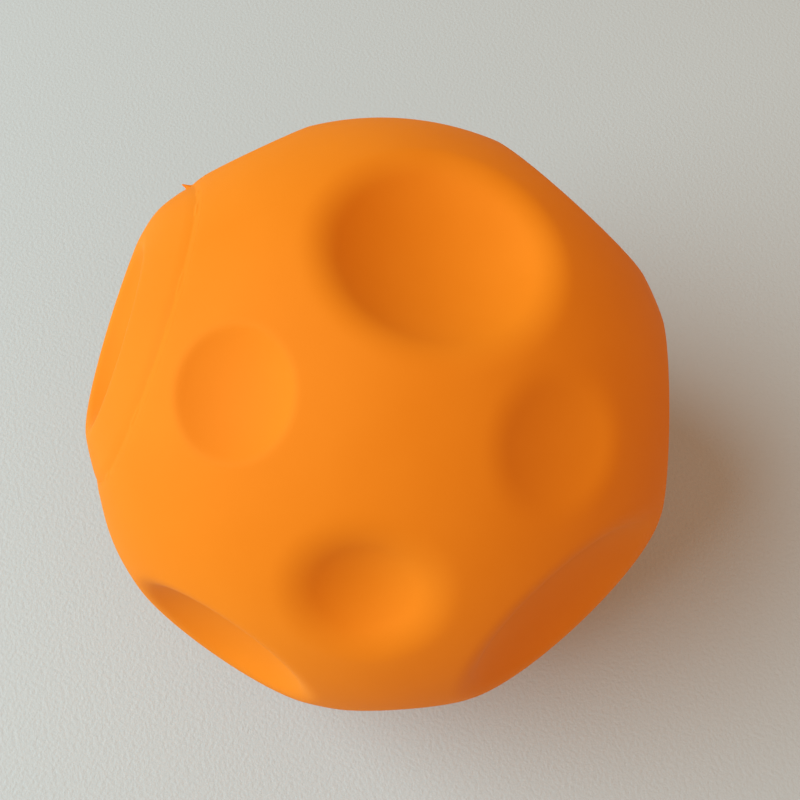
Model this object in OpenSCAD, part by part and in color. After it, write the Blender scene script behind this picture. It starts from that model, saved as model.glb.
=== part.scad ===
// Soft vinyl sensory ball with round finger wells, a welded end cap and a plugged air valve.
// Millimetres. The ball stands on the rim of its bottom well: z = 0 is that rim, +Z is up.

/* [Ball] */
// Outside diameter over the land between the wells
ball_d = 100; // [94:1:140]
// Wall thickness, nearly the same all over
wall = 3; // [2:0.25:4]

/* [Great well] */
// Diameter of the mouth, measured at its sharp corner before rounding
great_mouth_d = 38.4; // [32:0.4:40]
// Depth of the floor below the ball's surface
great_depth = 8.4; // [6:0.2:11]
// Radius of the rounded rim
great_rim_r = 5.5; // [1:0.25:6]

/* [Top well] */
// Diameter of the mouth, measured at its sharp corner before rounding
top_mouth_d = 32; // [26:0.5:33]
// Depth of the floor below the ball's surface
top_depth = 7.3; // [5:0.1:9]
// Radius of the rounded rim
top_rim_r = 6.5; // [1:0.25:7]

/* [Wide wells] */
// Diameter of the mouth, measured at its sharp corner before rounding
wide_mouth_d = 30.4; // [26:0.4:31.2]
// Depth of the floor below the ball's surface
wide_depth = 6.8; // [5:0.2:9]
// Radius of the rounded rim
wide_rim_r = 4.5; // [1:0.25:5]

/* [Middle wells] */
// Diameter of the mouth, measured at its sharp corner before rounding
middle_mouth_d = 18.6; // [15:0.2:19]
// Depth of the floor below the ball's surface
middle_depth = 3.6; // [2.8:0.1:4.2]
// Radius of the rounded rim
middle_rim_r = 9; // [2:0.25:9.5]

/* [Small wells] */
// Diameter of the mouth, measured at its sharp corner before rounding
small_mouth_d = 18.2; // [14:0.2:20]
// Depth of the floor below the ball's surface
small_depth = 2.8; // [2:0.1:5]
// Radius of the rounded rim
small_rim_r = 2; // [0.8:0.1:3]

/* [Shallow wells] */
// Diameter of the mouth, measured at its sharp corner before rounding
shallow_mouth_d = 19.2; // [15:0.2:20]
// Depth of the floor below the ball's surface
shallow_depth = 1.9; // [1.6:0.1:2.6]
// Radius of the rounded rim
shallow_rim_r = 10; // [3:0.25:10.5]

/* [End cap] */
// Compass angle of the axis of the cap's well, from +X towards +Y
cap_azimuth = 154.5; // [152:0.5:157]
// Angle of the axis of the cap's well above the horizontal
cap_elevation = 26; // [24:0.5:28]
// Diameter of the mouth of the cap's well, measured at its sharp corner before rounding
cap_mouth_d = 30.6; // [26:0.4:31]
// Depth of the cap's well, which hides the valve
cap_depth = 8.3; // [7.5:0.1:10]
// Radius of the rounded rim of the cap's well
cap_rim_r = 3; // [1:0.25:4]
// How far the body's inner spigot reaches under the cap, along the wall
lap_length = 2.5; // [1:0.25:3]

/* [Seam] */
// Compass angle of the middle of the seam, which lies a little off the cap's well
seam_azimuth = 152.5; // [151:0.5:156]
// Angle of the middle of the seam above the horizontal
seam_elevation = 26.5; // [25:0.5:28]
// Diameter of the seam circle on the ball's surface
seam_d = 50; // [48:0.5:53]
// Radius of the soft shoulders by which the land slopes down to the seam on both sides
shoulder_r = 8; // [4:0.5:12]
// How far the shoulders fall below the ball's surface
shoulder_drop = 0.25; // [0.15:0.05:0.4]

/* [Seam weld] */
// Diameter of the weld bead
bead_d = 0.6; // [0.4:0.05:0.8]
// How far the bead's top lies below the ball's surface
bead_sunk = 0.25; // [0.1:0.05:0.4]
// Height of the flash tag above the ball's surface
flash_h = 1; // [0.5:0.1:2]
// Width of the flash tag along the seam
flash_w = 1.8; // [1:0.1:3]
// Thickness of the flash tag
flash_t = 0.4; // [0.3:0.05:0.5]
// Place of the flash tag, as a turn about the middle of the seam from its lowest point
flash_turn = 245; // [0:1:359]

/* [Air valve] */
// Diameter of the seat's barrel
barrel_d = 9; // [7:0.25:10]
// Diameter of the seat's flange inside the ball
flange_d = 13; // [11:0.25:15]
// Thickness of the seat's flange
flange_t = 1.5; // [1:0.1:2.5]
// Diameter of the seat's lip on the floor of the cap's well
lip_d = 12; // [10.5:0.25:14]
// Thickness of the seat's lip
lip_t = 0.8; // [0.5:0.1:1.5]
// Diameter of the air bore
bore_d = 4.4; // [3:0.1:5.5]
// Diameter of the plug's head
plug_head_d = 8.4; // [7:0.1:10]
// Height of the plug's head
plug_head_h = 1.8; // [1.2:0.1:3]
// Length of the plug's shank under its head
plug_shank = 7; // [5:0.25:9]
// Length of the taper at the plug's tip
plug_taper = 1.2; // [0.5:0.1:2]

/* [Fits] */
// Gap between the cap, the body, the bead and the valve seat, before the vinyl is fused
seam_gap = 0.1; // [0.05:0.05:0.2]
// Radial clearance of the plug in its bore
plug_fit = 0.05; // [0.02:0.01:0.1]

/* [Hidden] */
$fn = 96;

// A well is [mouth radius, depth, rim radius]
GREAT = [great_mouth_d / 2, great_depth, great_rim_r];
TOP = [top_mouth_d / 2, top_depth, top_rim_r];
WIDE = [wide_mouth_d / 2, wide_depth, wide_rim_r];
MIDDLE = [middle_mouth_d / 2, middle_depth, middle_rim_r];
SMALL = [small_mouth_d / 2, small_depth, small_rim_r];
SHALLOW = [shallow_mouth_d / 2, shallow_depth, shallow_rim_r];
CAP_WELL = [cap_mouth_d / 2, cap_depth, cap_rim_r];

// Where the body's wells lie: each kind with its places, [azimuth, elevation]. The last wide one faces down.
BODY_WELLS = [
    [GREAT, [[288, 8]]],
    [TOP, [[358, 80]]],
    [WIDE, [
        [219, 4.5], [21, 29], [335, 9.5], [58, 1], [145, -29],
        [229, -41], [289, -43], [14, -15], [84, -44], [0, -90]
    ]],
    [MIDDLE, [[247, 36], [100, -10], [343, -52], [31.3, -49]]],
    [SMALL, [[201, 59], [101, 37], [189, -25]]],
    [SHALLOW, [[297, 49.5], [254, -14]]]
];

ball_r = ball_d / 2;
cavity_r = ball_r - wall;
// Round edges and bowls lap by this much, so that they cross instead of just touching
blend_lap = 0.01;
// Far enough out to clear the ball
reach = 2 * ball_r;

// The bowl's radius and the height of its centre, from the ball's centre along the well's axis
function floor_z(well) = ball_r - well[1];
function bowl_drop(well) = sqrt(ball_r ^ 2 - well[0] ^ 2) - floor_z(well);
function bowl_r(well) = (well[0] ^ 2 + bowl_drop(well) ^ 2) / (2 * bowl_drop(well));
function bowl_z(well) = floor_z(well) + bowl_r(well);

// The rounded rim is a ring of circles: how far their centres lie from the ball's centre, and at
// what angle from the well's axis, so that each circle meets both the ball and the bowl
function rim_reach(well) = ball_r - well[2] + blend_lap;
function rim_to_bowl(well) = bowl_r(well) + well[2] - blend_lap;
function rim_angle(well) =
    acos(
        (rim_reach(well) ^ 2 + bowl_z(well) ^ 2 - rim_to_bowl(well) ^ 2)
        / (2 * rim_reach(well) * bowl_z(well))
    );

// A point of a half section, at a distance from the ball's centre and an angle from the axis
function polar(distance, angle) = [distance * sin(angle), distance * cos(angle)];

// The ball's centre stands this far above the rim that it rests on
rest_h = rim_reach(WIDE) * cos(rim_angle(WIDE)) + wide_rim_r;

// The seam as an angle from the cap's axis, and the end of the spigot under the cap
seam_angle = asin(seam_d / ball_d);
lap_angle = seam_angle - lap_length / cavity_r * 180 / PI;
lap_r = ball_r - wall / 2;
gap_angle = seam_gap / ball_r * 180 / PI;
bead_r = bead_d / 2;
bead_reach = ball_r - bead_sunk - bead_r;

// The shoulders beside the seam: how far their circles' centres lie from the ball's centre, and at what
// angle from the seam each begins
shoulder_reach = ball_r - shoulder_r + blend_lap;
shoulder_low = ball_r - shoulder_drop;
shoulder_span = acos(
    (shoulder_reach ^ 2 + shoulder_low ^ 2 - shoulder_r ^ 2) / (2 * shoulder_reach * shoulder_low)
);
body_shoulder = seam_angle + shoulder_span;
cap_shoulder = seam_angle - gap_angle - shoulder_span;

// Heights along the cap's axis: the well's floor, the face inside it, and the plug's stop
cap_floor = floor_z(CAP_WELL);
cap_inside = cap_floor - wall;
lip_top = cap_floor + seam_gap + lip_t;
plug_stop = lip_top + plug_fit;
flange_top = cap_inside - seam_gap;
// The flat pad inside the cap, round the seat's flange
pad_r = flange_d / 2 + wall / 4;

// Stands the ball on its bottom rim
module placed() {
    translate([0, 0, rest_h]) children();
}

// Turns +Z to a direction on the ball
module aim(azimuth, elevation) {
    rotate([0, 90 - elevation, azimuth]) children();
}

module on_cap_axis() {
    placed() aim(cap_azimuth, cap_elevation) children();
}

module on_seam_axis() {
    placed() aim(seam_azimuth, seam_elevation) children();
}

// A half section's wedge between two angles from the axis
module wedge(from, to) {
    polygon([[0, 0], polar(reach, from), polar(reach, to)]);
}

// Half section of what a well takes out of the ball: its bowl, opened up to the rounded rim
module well_section(well) {
    bowl_centre = [0, bowl_z(well)];
    rim_centre = polar(rim_reach(well), rim_angle(well));
    intersection() {
        union() {
            translate(bowl_centre) circle(r = bowl_r(well));
            difference() {
                polygon([bowl_centre, rim_centre, polar(ball_r + wall, rim_angle(well))]);
                translate(rim_centre) circle(r = well[2]);
            }
        }
        square([reach, bowl_z(well) + bowl_r(well)]);
    }
}

module well_cut(well) {
    rotate_extrude() well_section(well);
}

// The wall's inner side behind a well
module well_back(well) {
    translate([0, 0, bowl_z(well)]) sphere(r = bowl_r(well) + wall);
}

module on_wells() {
    for (kind = BODY_WELLS, place = kind[1]) {
        $well = kind[0];
        aim(place[0], place[1]) children();
    }
}

// The hollow inside, which keeps the same wall behind every well
module cavity() {
    difference() {
        sphere(r = cavity_r);
        on_wells() well_back($well);
    }
}

// The round mouth that the cap closes: the land slopes down to it, and the spigot stands on its inner half
module cap_mouth() {
    shoulder_centre = polar(shoulder_reach, body_shoulder);
    rotate_extrude() {
        difference() {
            wedge(0, seam_angle);
            intersection() {
                wedge(lap_angle, seam_angle + gap_angle);
                circle(r = lap_r - seam_gap / 2);
            }
        }
        difference() {
            polygon([
                polar(lap_r, lap_angle), polar(lap_r, body_shoulder),
                polar(ball_r + wall, body_shoulder), polar(ball_r + wall, lap_angle)
            ]);
            translate(shoulder_centre) circle(r = shoulder_r);
        }
    }
}

module bead_groove() {
    rotate_extrude() translate(polar(bead_reach, seam_angle)) circle(r = bead_r + seam_gap);
}

module body_shell() {
    color("darkorange") difference() {
        placed() difference() {
            sphere(r = ball_r);
            on_wells() well_cut($well);
            cavity();
        }
        on_seam_axis() {
            cap_mouth();
            bead_groove();
        }
    }
}

// Half section of the cap before it is dished and hollowed: a wedge of the ball inside the seam, whose
// land slopes down to the seam, with room for the body's spigot
module cap_blank_section() {
    difference() {
        intersection() {
            circle(r = ball_r);
            wedge(0, seam_angle - gap_angle);
            union() {
                wedge(0, cap_shoulder);
                translate(polar(shoulder_reach, cap_shoulder)) circle(r = shoulder_r);
                circle(r = lap_r);
            }
        }
        intersection() {
            wedge(lap_angle - gap_angle, seam_angle);
            circle(r = lap_r + seam_gap / 2);
        }
        translate(polar(bead_reach, seam_angle)) circle(r = bead_r + seam_gap);
    }
}

// The hollow behind the cap: it leaves the wall of the cap's well, and the pad round the seat's flange
module cap_hollow() {
    difference() {
        sphere(r = cavity_r);
        aim(cap_azimuth, cap_elevation) {
            well_back(CAP_WELL);
            translate([0, 0, cap_inside]) cylinder(h = wall, r = pad_r);
        }
    }
}

module end_cap() {
    color("orange") difference() {
        on_seam_axis() rotate_extrude() cap_blank_section();
        placed() cap_hollow();
        on_cap_axis() {
            well_cut(CAP_WELL);
            // Hole for the seat's barrel, and the flat that its lip beds on
            cylinder(h = reach, r = barrel_d / 2 + seam_gap);
            translate([0, 0, cap_floor]) cylinder(h = reach, r = lip_d / 2 + seam_gap);
        }
    }
}

// Bead of fused vinyl sunk in the seam, with the tag of flash that trimming left
module seam_weld() {
    flash_top = ball_r + flash_h - bead_reach;
    color("coral") on_seam_axis() {
        rotate_extrude() translate(polar(bead_reach, seam_angle)) circle(r = bead_r);
        rotate([0, 0, flash_turn]) rotate([0, seam_angle, 0]) translate([0, 0, bead_reach])
            rotate([90, 0, 90]) linear_extrude(flash_t, center = true)
                polygon([[-flash_w / 2, 0], [flash_w / 2, 0], [0, flash_top]]);
    }
}

// Grommet that grips the wall of the cap's well and holds the plug
module valve_seat() {
    color("sandybrown") on_cap_axis() rotate_extrude() difference() {
        union() {
            translate([0, flange_top - flange_t]) square([flange_d / 2, flange_t]);
            translate([0, flange_top - flange_t]) square([barrel_d / 2, lip_top - flange_top + flange_t]);
            translate([0, lip_top - lip_t]) square([lip_d / 2, lip_t]);
        }
        square([bore_d / 2, reach]);
    }
}

// Push-in stopper with a domed head to catch with a fingernail
module air_plug() {
    shank_r = bore_d / 2 - plug_fit;
    head_r = plug_head_d / 2;
    // Radius of the dome whose edge lies halfway up the head
    dome_h = plug_head_h / 2;
    dome_r = (head_r ^ 2 + dome_h ^ 2) / (2 * dome_h);
    color("ivory") on_cap_axis() translate([0, 0, plug_stop]) rotate_extrude() {
        polygon([
            [0, -plug_shank],
            [shank_r - plug_taper / 2, -plug_shank],
            [shank_r, plug_taper - plug_shank],
            [shank_r, 0],
            [0, 0]
        ]);
        intersection() {
            square([head_r, plug_head_h]);
            translate([0, plug_head_h - dome_r]) circle(r = dome_r);
        }
    }
}

body_shell();
end_cap();
seam_weld();
valve_seat();
air_plug();
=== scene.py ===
"""Soft vinyl sensory ball: hollow, with round finger wells, a welded end cap and a plugged air valve."""
import math

import bmesh
import bpy
import numpy as np
from mathutils import Matrix, Vector


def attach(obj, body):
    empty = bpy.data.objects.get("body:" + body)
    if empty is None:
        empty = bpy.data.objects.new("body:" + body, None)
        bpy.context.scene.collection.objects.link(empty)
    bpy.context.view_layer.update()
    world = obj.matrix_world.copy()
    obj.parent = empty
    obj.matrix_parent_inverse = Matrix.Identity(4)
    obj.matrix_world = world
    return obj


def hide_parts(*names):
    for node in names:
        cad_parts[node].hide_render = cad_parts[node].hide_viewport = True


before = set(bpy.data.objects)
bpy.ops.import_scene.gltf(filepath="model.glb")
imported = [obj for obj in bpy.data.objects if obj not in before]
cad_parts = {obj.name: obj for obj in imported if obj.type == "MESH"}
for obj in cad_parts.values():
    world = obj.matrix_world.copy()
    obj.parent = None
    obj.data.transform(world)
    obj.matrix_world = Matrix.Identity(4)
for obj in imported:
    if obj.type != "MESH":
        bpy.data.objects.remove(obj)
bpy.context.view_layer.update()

MM = 0.001

# Sizes of the ball and its pieces, as the construction has them
BALL_R = 50 * MM
WALL = 3 * MM
CAVITY_R = BALL_R - WALL
SEAM_ANGLE = math.radians(30)
LAP_R = BALL_R - WALL / 2
LAP_ANGLE = SEAM_ANGLE - 2.5 * MM / CAVITY_R
SEAM_GAP = 0.1 * MM
SHOULDER_R, SHOULDER_DROP = 8 * MM, 0.25 * MM
BARREL_R = 4.5 * MM
FLANGE_R, FLANGE_T = 6.5 * MM, 1.5 * MM
LIP_R, LIP_T = 6 * MM, 0.8 * MM
BORE_R = 2.2 * MM
PLUG_FIT = 0.05 * MM
PLUG_HEAD_R, PLUG_HEAD_H = 4.2 * MM, 1.8 * MM
PLUG_SHANK, PLUG_TAPER = 7 * MM, 1.2 * MM
FLASH_TURN, FLASH_H, FLASH_W = math.radians(245), 1 * MM, 0.9 * MM

# Softened edges of the seat and the plug
SEAT_EDGE = 0.3 * MM
PLUG_TIP_EDGE, PLUG_HEAD_EDGE, PLUG_DOME_EDGE = 0.2 * MM, 0.25 * MM, 0.15 * MM
PLUG_DOME_SHARE = 0.93

# The land beside the seam, left uneven by trimming: turns about the seam's axis and angles from it
UNEVEN = 0.8 * MM
PROUD_TURN, PROUD_SPREAD = math.radians(246), 0.6
PROUD_ANGLE, PROUD_WIDTH = math.radians(22.8), math.radians(5.5)
SUNK_TURN, SUNK_SPREAD = math.radians(62), 0.5
SUNK_ANGLE, SUNK_WIDTH = math.radians(30.5), math.radians(8.5)

# The fused strip over the seam, its streaks and the lean of its flash
STRIP_HALF, STRIP_SOFT = 1.3 * MM, 0.2 * MM
STRIP_EDGE, STRIP_T, STRIP_FOOT_SHARE = 0.1 * MM, 0.4 * MM, 0.7
STREAK_H, STREAK_SIDE, STREAK_W = 0.12 * MM, 0.2 * MM, 0.3 * MM
STREAK_WAVES, STREAK_SHIFT, STREAK_CUT = (9, 23), 1, 0.4
FLASH_ROOT, FLASH_LEAN, FLASH_POINT = 0.35 * MM, 0.5, 0.7

# Faces that meet at more than this angle show an edge between them
SHARP_EDGE = math.radians(50)


class Well:
    """A round bowl sunk in the ball, with a rounded rim. Angles are from the well's axis, at the ball's
    centre."""

    def __init__(self, mouth_r, depth, rim_r):
        floor = BALL_R - depth
        drop = math.sqrt(BALL_R ** 2 - mouth_r ** 2) - floor
        self.floor = floor
        self.rim_r = rim_r
        self.bowl_r = (mouth_r ** 2 + drop ** 2) / (2 * drop)
        self.bowl_z = floor + self.bowl_r
        self.rim_reach = BALL_R - rim_r
        span = self.bowl_r + rim_r
        cosine = (self.rim_reach ** 2 + self.bowl_z ** 2 - span ** 2) / (2 * self.rim_reach * self.bowl_z)
        self.rim_angle = math.acos(cosine)
        # Where the bowl passes into the rim
        touch_x = self.bowl_r * self.rim_reach * math.sin(self.rim_angle) / span
        self.touch_angle = math.atan2(touch_x, self.bowl_z - math.sqrt(self.bowl_r ** 2 - touch_x ** 2))

    def outside(self, angle):
        """Distance of the outer skin from the ball's centre."""
        bowl = self.bowl_z * np.cos(angle) - np.sqrt(
            np.maximum(self.bowl_r ** 2 - (self.bowl_z * np.sin(angle)) ** 2, 0))
        turn = angle - self.rim_angle
        rim = self.rim_reach * np.cos(turn) + np.sqrt(
            np.maximum(self.rim_r ** 2 - (self.rim_reach * np.sin(turn)) ** 2, 0))
        return np.where(angle < self.touch_angle, bowl, np.where(angle < self.rim_angle, rim, BALL_R))

    def inside(self, angle):
        """Distance of the inner skin from the ball's centre, one wall behind the bowl."""
        back = (self.bowl_r + WALL) ** 2 - (self.bowl_z * np.sin(angle)) ** 2
        bowl = self.bowl_z * np.cos(angle) - np.sqrt(np.maximum(back, 0))
        return np.where((back > 0) & (np.cos(angle) > 0), np.minimum(bowl, CAVITY_R), CAVITY_R)


# Kinds of well: radius of the mouth, depth and radius of the rim
GREAT = Well(19.2 * MM, 8.4 * MM, 5.5 * MM)
TOP = Well(16 * MM, 7.3 * MM, 6.5 * MM)
WIDE = Well(15.2 * MM, 6.8 * MM, 4.5 * MM)
MIDDLE = Well(9.3 * MM, 3.6 * MM, 9 * MM)
SMALL = Well(9.1 * MM, 2.8 * MM, 2 * MM)
SHALLOW = Well(9.6 * MM, 1.9 * MM, 10 * MM)
CAP_WELL = Well(15.3 * MM, 8.3 * MM, 3 * MM)

# Places of the wells on the body: azimuth and elevation in degrees
WELLS = [
    (GREAT, [(288, 8)]),
    (TOP, [(358, 80)]),
    (WIDE, [
        (219, 4.5), (21, 29), (335, 9.5), (58, 1), (145, -29),
        (229, -41), (289, -43), (14, -15), (84, -44), (0, -90),
    ]),
    (MIDDLE, [(247, 36), (100, -10), (343, -52), (31.3, -49)]),
    (SMALL, [(201, 59), (101, 37), (189, -25)]),
    (SHALLOW, [(297, 49.5), (254, -14)]),
]

# The ball rests on the rim of its bottom well, so its centre stands this high
CENTRE = Vector((0, 0, WIDE.rim_reach * math.cos(WIDE.rim_angle) + WIDE.rim_r))


def axes(azimuth, elevation):
    """Axes on the ball: +Z out through a place on it, +X towards the lowest side of that place."""
    turn = Matrix.Rotation(math.radians(azimuth), 3, "Z")
    return turn @ Matrix.Rotation(math.radians(90 - elevation), 3, "Y")


# The cap's well and the seam round the cap aren't quite centred on each other
CAP_AXES = axes(154.5, 26)
SEAM_AXES = axes(152.5, 26.5)


def direction(azimuth, elevation):
    """A unit direction, from angles in degrees."""
    a, e = math.radians(azimuth), math.radians(elevation)
    return np.array([math.cos(e) * math.cos(a), math.cos(e) * math.sin(a), math.sin(e)])


def skin(directions, side):
    """Distance of the ball's outer or inner skin from its centre, in each of the directions."""
    distance = np.full(directions.shape[:-1], BALL_R if side == "outside" else CAVITY_R)
    for well, places in WELLS:
        for place in places:
            angle = np.arccos(np.clip(directions @ direction(*place), -1, 1))
            distance = np.minimum(distance, getattr(well, side)(angle))
    return distance


def on_ball(angles, columns, about):
    """Directions on rings about an axis: one ring for each angle, one point for each column."""
    angles = np.array(angles)[:, None]
    turns = np.linspace(0, 2 * math.pi, columns, endpoint=False)
    rings = np.stack(np.broadcast_arrays(
        np.sin(angles) * np.cos(turns), np.sin(angles) * np.sin(turns), np.cos(angles)), axis=-1)
    return rings @ np.array(about).T


def between(start, end, rows):
    """Directions on rings that pass evenly from one ring to another."""
    share = np.linspace(0, 1, rows)[:, None, None]
    rings = (1 - share) * start + share * end
    return rings / np.linalg.norm(rings, axis=-1, keepdims=True)


def about_axis(directions, about):
    """The angle of each direction from an axis, and its turn about it."""
    local = directions @ np.array(about)
    return np.arccos(np.clip(local[..., 2], -1, 1)), np.arctan2(local[..., 1], local[..., 0])


def turn_from(turns, middle):
    """Turns counted from another turn, by the shorter way round."""
    return np.angle(np.exp(1j * (turns - middle)))


def hump(values, middle, width):
    """A smooth rise to 1 at the middle."""
    return np.exp(-((values - middle) / width) ** 2)


def seam_land(directions):
    """Distance of the land from the ball's centre where it slopes down to the seam from both sides, and how
    far trimming left it proud: the cap stands up beside the seam's upper end, and the lower end is sunk."""
    angle, turn = about_axis(directions, SEAM_AXES)
    reach, low = BALL_R - SHOULDER_R, BALL_R - SHOULDER_DROP
    span = math.acos((reach ** 2 + low ** 2 - SHOULDER_R ** 2) / (2 * reach * low))
    slope = np.clip(span - np.abs(angle - SEAM_ANGLE), 0, None)
    land = reach * np.cos(slope) + np.sqrt(SHOULDER_R ** 2 - (reach * np.sin(slope)) ** 2)
    proud = hump(turn_from(turn, PROUD_TURN), 0, PROUD_SPREAD) * hump(angle, PROUD_ANGLE, PROUD_WIDTH)
    sunk = hump(turn_from(turn, SUNK_TURN), 0, SUNK_SPREAD) * hump(angle, SUNK_ANGLE, SUNK_WIDTH)
    return land, UNEVEN * (proud - sunk)


def stand(points, about=None):
    """Points given from the ball's centre, about an axis if one is named, moved to where the ball stands."""
    if about is not None:
        points = points @ np.array(about).T
    return points + np.array(CENTRE)


def loft(name, rings, poles=(None, None), loop=False):
    """A piece from rings of points, closed at its ends by poles or by joining the last ring to the first."""
    count, columns = rings.shape[:2]
    points = [tuple(p) for p in rings.reshape(-1, 3)]
    faces = []
    pairs = [(i, i + 1) for i in range(count - 1)]
    if loop:
        pairs.append((count - 1, 0))
    for low, high in pairs:
        for c in range(columns):
            d = (c + 1) % columns
            faces.append((low * columns + c, low * columns + d, high * columns + d, high * columns + c))
    for pole, ring, step in ((poles[0], 0, 1), (poles[1], count - 1, -1)):
        if pole is not None:
            points.append(tuple(pole))
            edge = [ring * columns + c for c in range(columns)][::step]
            faces += [(len(points) - 1, edge[(c + 1) % columns], edge[c]) for c in range(columns)]
    mesh = bpy.data.meshes.new(name)
    mesh.from_pydata(points, [], faces)
    mesh.shade_smooth()
    work = bmesh.new()
    work.from_mesh(mesh)
    bmesh.ops.recalc_face_normals(work, faces=work.faces)
    work.to_mesh(mesh)
    work.free()
    mesh.set_sharp_from_angle(angle=SHARP_EDGE)
    piece = bpy.data.objects.new(name, mesh)
    bpy.context.collection.objects.link(piece)
    return piece


def lathe(name, section):
    """A piece turned about the cap's axis. The section's points give distance from the axis and height along
    it. The section is closed on itself, or has both ends on the axis."""
    columns = 120
    section = np.array(section)
    turns = np.linspace(0, 2 * math.pi, columns, endpoint=False)
    off_axis = section[:, 0] > 0
    out, up = section[off_axis, :1], section[off_axis, 1:]
    rings = np.stack(np.broadcast_arrays(out * np.cos(turns), out * np.sin(turns), up), axis=-1)
    ends = [stand(np.array((0, 0, z)), CAP_AXES) for z in section[~off_axis, 1]]
    return loft(name, stand(rings, CAP_AXES), ends or (None, None), loop=not ends)


def make_body_shell():
    """The ball's main wall with its wells, open at the seam."""
    columns, row_step, inner_rows = 540, 0.55 * MM, 90
    outer_rows = int((math.pi - SEAM_ANGLE) * BALL_R / row_step)
    outer = on_ball(np.linspace(SEAM_ANGLE, math.pi, outer_rows)[:-1], columns, SEAM_AXES)
    land, uneven = seam_land(outer)
    outer = outer * (np.minimum(skin(outer, "outside"), land) + uneven)[..., None]
    # The hollow side, from the far pole back to the spigot that the cap sits on
    inner = on_ball(np.linspace(math.pi, LAP_ANGLE, inner_rows)[1:], columns, SEAM_AXES)
    inner = inner * skin(inner, "inside")[..., None]
    spigot = on_ball([LAP_ANGLE, SEAM_ANGLE], columns, SEAM_AXES) * (LAP_R - SEAM_GAP / 2)
    far = on_ball([math.pi], 1, SEAM_AXES)[0, 0]
    poles = [stand(far * skin(far, side)) for side in ("inside", "outside")]
    return loft("body_shell", stand(np.concatenate([inner, spigot, outer])), poles)


def make_end_cap():
    """The round end inside the seam, dished by its own well, with a hole for the valve seat."""
    columns, outer_rows, inner_rows = 420, 100, 40
    gap = SEAM_GAP / BALL_R
    floor, inside_floor = CAP_WELL.floor, CAP_WELL.floor - WALL
    # The hole for the seat's barrel, the flat under its lip and the pad over its flange
    hole_r, flat_r, pad_r = BARREL_R + SEAM_GAP, LIP_R + SEAM_GAP, FLANGE_R + WALL / 4
    hole = on_ball([math.atan2(hole_r, floor)], columns, CAP_AXES)
    outer = between(hole, on_ball([SEAM_ANGLE - gap], columns, SEAM_AXES), outer_rows)
    angle = about_axis(outer, CAP_AXES)[0]
    land, uneven = seam_land(outer)
    dished = np.minimum(CAP_WELL.outside(angle), land) + uneven
    outer = outer * np.where(np.tan(angle) * floor < flat_r, floor / np.cos(angle), dished)[..., None]
    # Room for the body's spigot, then the hollow side back to the hole
    rebate = on_ball([SEAM_ANGLE - gap, LAP_ANGLE - gap], columns, SEAM_AXES) * (LAP_R + SEAM_GAP / 2)
    inner_hole = on_ball([math.atan2(hole_r, inside_floor)], columns, CAP_AXES)
    inner = between(on_ball([LAP_ANGLE - gap], columns, SEAM_AXES), inner_hole, inner_rows)
    angle = about_axis(inner, CAP_AXES)[0]
    on_pad = np.tan(angle) * inside_floor < pad_r
    inner = inner * np.where(on_pad, inside_floor / np.cos(angle), CAP_WELL.inside(angle))[..., None]
    return loft("end_cap", stand(np.concatenate([outer, rebate, inner])), loop=True)


def make_seam_weld():
    """A strip of fused vinyl that lies over both edges of the seam and rounds out the valley between them.
    Trimming left low streaks along it, and a tag of flash that leans over the cap."""
    columns, across_points = 900, 27
    turns = np.linspace(0, 2 * math.pi, columns, endpoint=False)
    from_flash = np.abs(turn_from(turns, FLASH_TURN)) * BALL_R * math.sin(SEAM_ANGLE)
    tag = (FLASH_H + SHOULDER_DROP) * np.clip(1 - from_flash / FLASH_W, 0, 1) ** FLASH_POINT
    # Two waves round the seam, cut off low down, give streaks of uneven length
    slow, quick = STREAK_WAVES
    waves = np.sin(slow * turns) + np.sin(quick * turns + STREAK_SHIFT)
    streak = STREAK_H * np.clip(waves - STREAK_CUT, 0, 1)
    foot = STRIP_FOOT_SHARE * STRIP_HALF
    top = [(across, 0) for across in np.linspace(-STRIP_HALF, STRIP_HALF, across_points)]
    under = [(STRIP_HALF, STRIP_EDGE), (foot, STRIP_T), (-foot, STRIP_T), (-STRIP_HALF, STRIP_EDGE)]
    rings = []
    for across, sunk in top + under:
        # It follows the land at a softened distance from the seam, so its middle is round, not creased
        softened = math.hypot(across, STRIP_SOFT)
        beside, here = on_ball(SEAM_ANGLE + np.array([softened, across]) / BALL_R, columns, SEAM_AXES)
        distance = seam_land(beside)[0] + seam_land(here)[1] - sunk
        flash = 0
        if not sunk:
            flash = tag * hump(across, 0, FLASH_ROOT)
            distance = distance + streak * hump(across, STREAK_SIDE, STREAK_W) + flash
        angle = SEAM_ANGLE + (across - FLASH_LEAN * flash) / BALL_R
        out = distance * np.sin(angle)
        rings.append(np.stack([out * np.cos(turns), out * np.sin(turns), distance * np.cos(angle)], axis=-1))
    return loft("seam_weld", stand(np.array(rings), SEAM_AXES), loop=True)


def rounded(corners, radius, steps=5):
    """A half section with its corners rounded, each by a curve that starts and ends a radius away."""
    points = []
    for i, here in enumerate(corners):
        before, after = Vector(corners[i - 1]), Vector(corners[(i + 1) % len(corners)])
        here = Vector(here)
        start = here + (before - here).normalized() * radius
        end = here + (after - here).normalized() * radius
        for t in np.linspace(0, 1, steps):
            points.append(tuple((1 - t) ** 2 * start + 2 * t * (1 - t) * here + t ** 2 * end))
    return points


def make_valve_seat():
    """A flanged grommet in the floor of the cap's well, with the bore that the plug closes."""
    flange_top = CAP_WELL.floor - WALL - SEAM_GAP
    flange_low = flange_top - FLANGE_T
    lip_low = CAP_WELL.floor + SEAM_GAP
    lip_top = lip_low + LIP_T
    return lathe("valve_seat", rounded([
        (BORE_R, flange_low), (FLANGE_R, flange_low), (FLANGE_R, flange_top), (BARREL_R, flange_top),
        (BARREL_R, lip_low), (LIP_R, lip_low), (LIP_R, lip_top), (BORE_R, lip_top),
    ], SEAT_EDGE))


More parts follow.
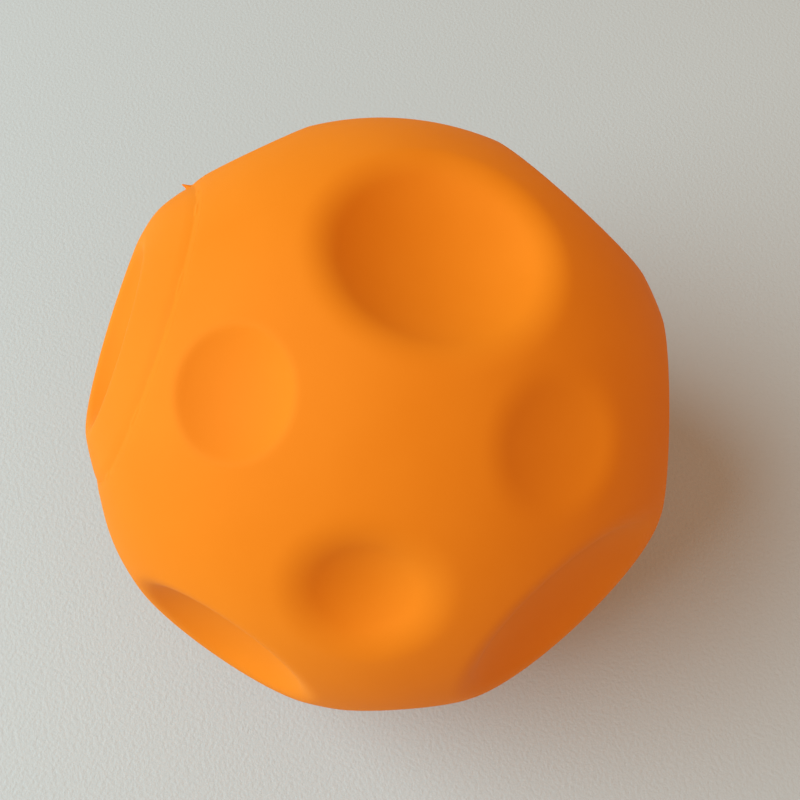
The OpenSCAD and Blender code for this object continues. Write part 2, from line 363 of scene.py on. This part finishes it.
def make_air_plug():
    """A stopper with a tapered shank and a domed head. Heights are from the underside of the head."""
    dome_points = 14
    underside = CAP_WELL.floor + SEAM_GAP + LIP_T + PLUG_FIT
    shank_r = BORE_R - PLUG_FIT
    tip_r = shank_r - PLUG_TAPER / 2
    dome_h = PLUG_HEAD_H / 2
    dome_r = (PLUG_HEAD_R ** 2 + dome_h ** 2) / (2 * dome_h)
    dome_z = PLUG_HEAD_H - dome_r
    dome_angle = PLUG_DOME_SHARE * math.asin(PLUG_HEAD_R / dome_r)
    section = [
        (0, -PLUG_SHANK), (tip_r - PLUG_TIP_EDGE, -PLUG_SHANK), (tip_r, PLUG_TIP_EDGE - PLUG_SHANK),
        (shank_r, PLUG_TAPER - PLUG_SHANK), (shank_r, 0), (PLUG_HEAD_R - PLUG_HEAD_EDGE, 0),
        (PLUG_HEAD_R, PLUG_HEAD_EDGE), (PLUG_HEAD_R, dome_h - PLUG_DOME_EDGE),
    ]
    section += [
        (dome_r * math.sin(t), dome_z + dome_r * math.cos(t)) for t in np.linspace(dome_angle, 0, dome_points)
    ]
    return lathe("air_plug", [(x, z + underside) for x, z in section])


def linear(hex_colour):
    """An sRGB hex colour as linear RGBA."""
    values = [int(hex_colour[i:i + 2], 16) / 255 for i in (1, 3, 5)]
    return [v / 12.92 if v <= 0.04045 else ((v + 0.055) / 1.055) ** 2.4 for v in values] + [1]


def dimmed(hex_colour, level):
    """An sRGB hex colour as linear RGBA at a level of its brightness."""
    return [c * level for c in linear(hex_colour)[:3]] + [1]


def add(tree, kind, links=None, values=None, **settings):
    """A shader node with its settings, its own socket values, and links from other nodes' outputs."""
    node = tree.nodes.new(kind)
    for key, value in settings.items():
        setattr(node, key, value)
    for key, value in (values or {}).items():
        node.inputs[key].default_value = value
    for key, output in (links or {}).items():
        tree.links.new(output, node.inputs[key])
    return node


def new_material(name):
    material = bpy.data.materials.new(name)
    material.use_nodes = True
    material.node_tree.nodes.clear()
    return material, material.node_tree


def cast_soft_pvc(name, pale, deep):
    """Soft PVC cast in a mould (plastisol). It gives an even, clear colour with faint cloudiness, and a matt
    mould skin that spreads light softly and reflects less than a polished face of its index would."""
    cloud_size, cloud_band = 18 * MM, (0.3, 0.7)
    # The grain of the mould skin is finer on the real ball: it is drawn this coarse so that it shows
    grain_size, grain_depth = 0.4 * MM, 0.1 * MM
    material, tree = new_material(name)
    place = add(tree, "ShaderNodeTexCoord").outputs["Object"]
    cloud = add(
        tree, "ShaderNodeTexNoise", {"Vector": place},
        {"Scale": 1 / cloud_size, "Detail": 3, "Roughness": 0.5})
    tone = add(tree, "ShaderNodeValToRGB", {"Fac": cloud.outputs["Fac"]})
    for stop, position, colour in zip(tone.color_ramp.elements, cloud_band, (deep, pale)):
        stop.position = position
        stop.color = linear(colour)
    matt = add(tree, "ShaderNodeMapRange", {"Value": cloud.outputs["Fac"]}, {"To Min": 0.7, "To Max": 0.78})
    grain = add(tree, "ShaderNodeTexNoise", {"Vector": place}, {"Scale": 1 / grain_size, "Detail": 2})
    bump = add(
        tree, "ShaderNodeBump", {"Height": grain.outputs["Fac"]}, {"Strength": 0.05, "Distance": grain_depth})
    vinyl = add(
        tree, "ShaderNodeBsdfPrincipled", {
            "Base Color": tone.outputs["Color"],
            "Roughness": matt.outputs["Result"],
            "Normal": bump.outputs["Normal"],
        },
        {"IOR": 1.53, "Specular IOR Level": 0.14, "Diffuse Roughness": 0.2},
    )
    add(tree, "ShaderNodeOutputMaterial", {"Surface": vinyl.outputs["BSDF"]})
    return material


def matt_table(colour):
    """Matt sealed table top: pale, with a faint even speckle, a fine orange peel and no clear reflection."""
    speck_size, peel_depth, speck_level = 0.8 * MM, 0.2 * MM, 0.97
    material, tree = new_material("matt_sealed_table")
    place = add(tree, "ShaderNodeTexCoord").outputs["Object"]
    speck = add(tree, "ShaderNodeTexNoise", {"Vector": place}, {"Scale": 1 / speck_size, "Detail": 2})
    tone = add(tree, "ShaderNodeValToRGB", {"Fac": speck.outputs["Fac"]})
    for stop, level in zip(tone.color_ramp.elements, (speck_level, 1)):
        stop.color = dimmed(colour, level)
    peel = add(
        tree, "ShaderNodeBump", {"Height": speck.outputs["Fac"]}, {"Strength": 0.6, "Distance": peel_depth})
    top = add(
        tree, "ShaderNodeBsdfPrincipled",
        {"Base Color": tone.outputs["Color"], "Normal": peel.outputs["Normal"]}, {"Roughness": 0.6})
    add(tree, "ShaderNodeOutputMaterial", {"Surface": top.outputs["BSDF"]})
    return material


ORANGE_VINYL = cast_soft_pvc("cast_soft_pvc_orange", pale="#f28916", deep="#ef8510")
MILKY_VINYL = cast_soft_pvc("cast_soft_pvc_milky", pale="#e0d8c7", deep="#dad0bd")


def dress(piece, material, body, node):
    """Give a piece its material, and put it in the place of a node of the frame."""
    piece.data.materials.append(material)
    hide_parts(node)
    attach(piece, body)


dress(make_body_shell(), ORANGE_VINYL, "ball", "body_shell")
dress(make_end_cap(), ORANGE_VINYL, "ball", "end_cap")
dress(make_seam_weld(), ORANGE_VINYL, "ball", "seam_weld")
dress(make_valve_seat(), ORANGE_VINYL, "ball", "valve_seat")
dress(make_air_plug(), MILKY_VINYL, "plug", "air_plug")


def make_floor(half, colour):
    mesh = bpy.data.meshes.new("floor")
    corners = [(-half, -half, 0), (half, -half, 0), (half, half, 0), (-half, half, 0)]
    mesh.from_pydata(corners, [], [(0, 1, 2, 3)])
    floor = bpy.data.objects.new("floor", mesh)
    bpy.context.collection.objects.link(floor)
    mesh.materials.append(matt_table(colour))


def aim_at_ball(thing, azimuth, elevation, distance):
    """Place a lamp or camera so many metres from the ball's centre, and turn it to face the ball."""
    thing.location = CENTRE + Vector(direction(azimuth, elevation)) * distance
    thing.rotation_euler = (CENTRE - thing.location).to_track_quat("-Z", "Y").to_euler()
    bpy.context.collection.objects.link(thing)


def make_light(name, azimuth, elevation, distance, size, power, colour):
    """A soft round lamp that faces the ball: metres, watts and degrees."""
    lamp = bpy.data.lights.new(name, "AREA")
    lamp.shape = "DISK"
    lamp.size = size
    lamp.energy = power
    lamp.color = linear(colour)[:3]
    aim_at_ball(bpy.data.objects.new(name, lamp), azimuth, elevation, distance)


def make_world(azimuth, elevation, colour, near, far):
    """A warm room that fills the shade: brighter on one side than on the other."""
    world = bpy.data.worlds.new("room")
    world.use_nodes = True
    tree = world.node_tree
    tree.nodes.clear()
    ray = add(tree, "ShaderNodeTexCoord").outputs["Generated"]
    bright_side = direction(azimuth, elevation)
    side = add(tree, "ShaderNodeVectorMath", {0: ray}, {1: bright_side}, operation="DOT_PRODUCT")
    share = add(
        tree, "ShaderNodeMapRange", {"Value": side.outputs["Value"]}, {"From Min": -1, "From Max": 1})
    tone = add(tree, "ShaderNodeValToRGB", {"Fac": share.outputs["Result"]})
    for stop, level in zip(tone.color_ramp.elements, (far, near)):
        stop.color = dimmed(colour, level)
    fill = add(tree, "ShaderNodeBackground", {"Color": tone.outputs["Color"]})
    add(tree, "ShaderNodeOutputWorld", {"Surface": fill.outputs["Background"]})
    bpy.context.scene.world = world


def make_camera(azimuth, elevation, distance, view_angle):
    """The photograph looks down on the ball from close by. The ball's middle lies a little left of and below
    the frame's."""
    frame_px, ball_px = 800, (381, 415)
    camera_data = bpy.data.cameras.new("camera")
    camera_data.angle = math.radians(view_angle)
    camera_data.shift_x = (frame_px / 2 - ball_px[0]) / frame_px
    camera_data.shift_y = (ball_px[1] - frame_px / 2) / frame_px
    camera_data.clip_start = 10 * MM
    camera = bpy.data.objects.new("camera", camera_data)
    aim_at_ball(camera, azimuth, elevation, distance)
    bpy.context.scene.camera = camera


make_floor(half=3, colour="#c5cbce")
make_light("window", azimuth=165, elevation=39, distance=1.4, size=1.55, power=27.5, colour="#dcf9ff")
make_world(azimuth=300, elevation=30, colour="#ffd0a8", near=0.68, far=0.2)
make_camera(azimuth=250, elevation=65, distance=169.8 * MM, view_angle=45)
bpy.context.scene.view_settings.view_transform = "Standard"
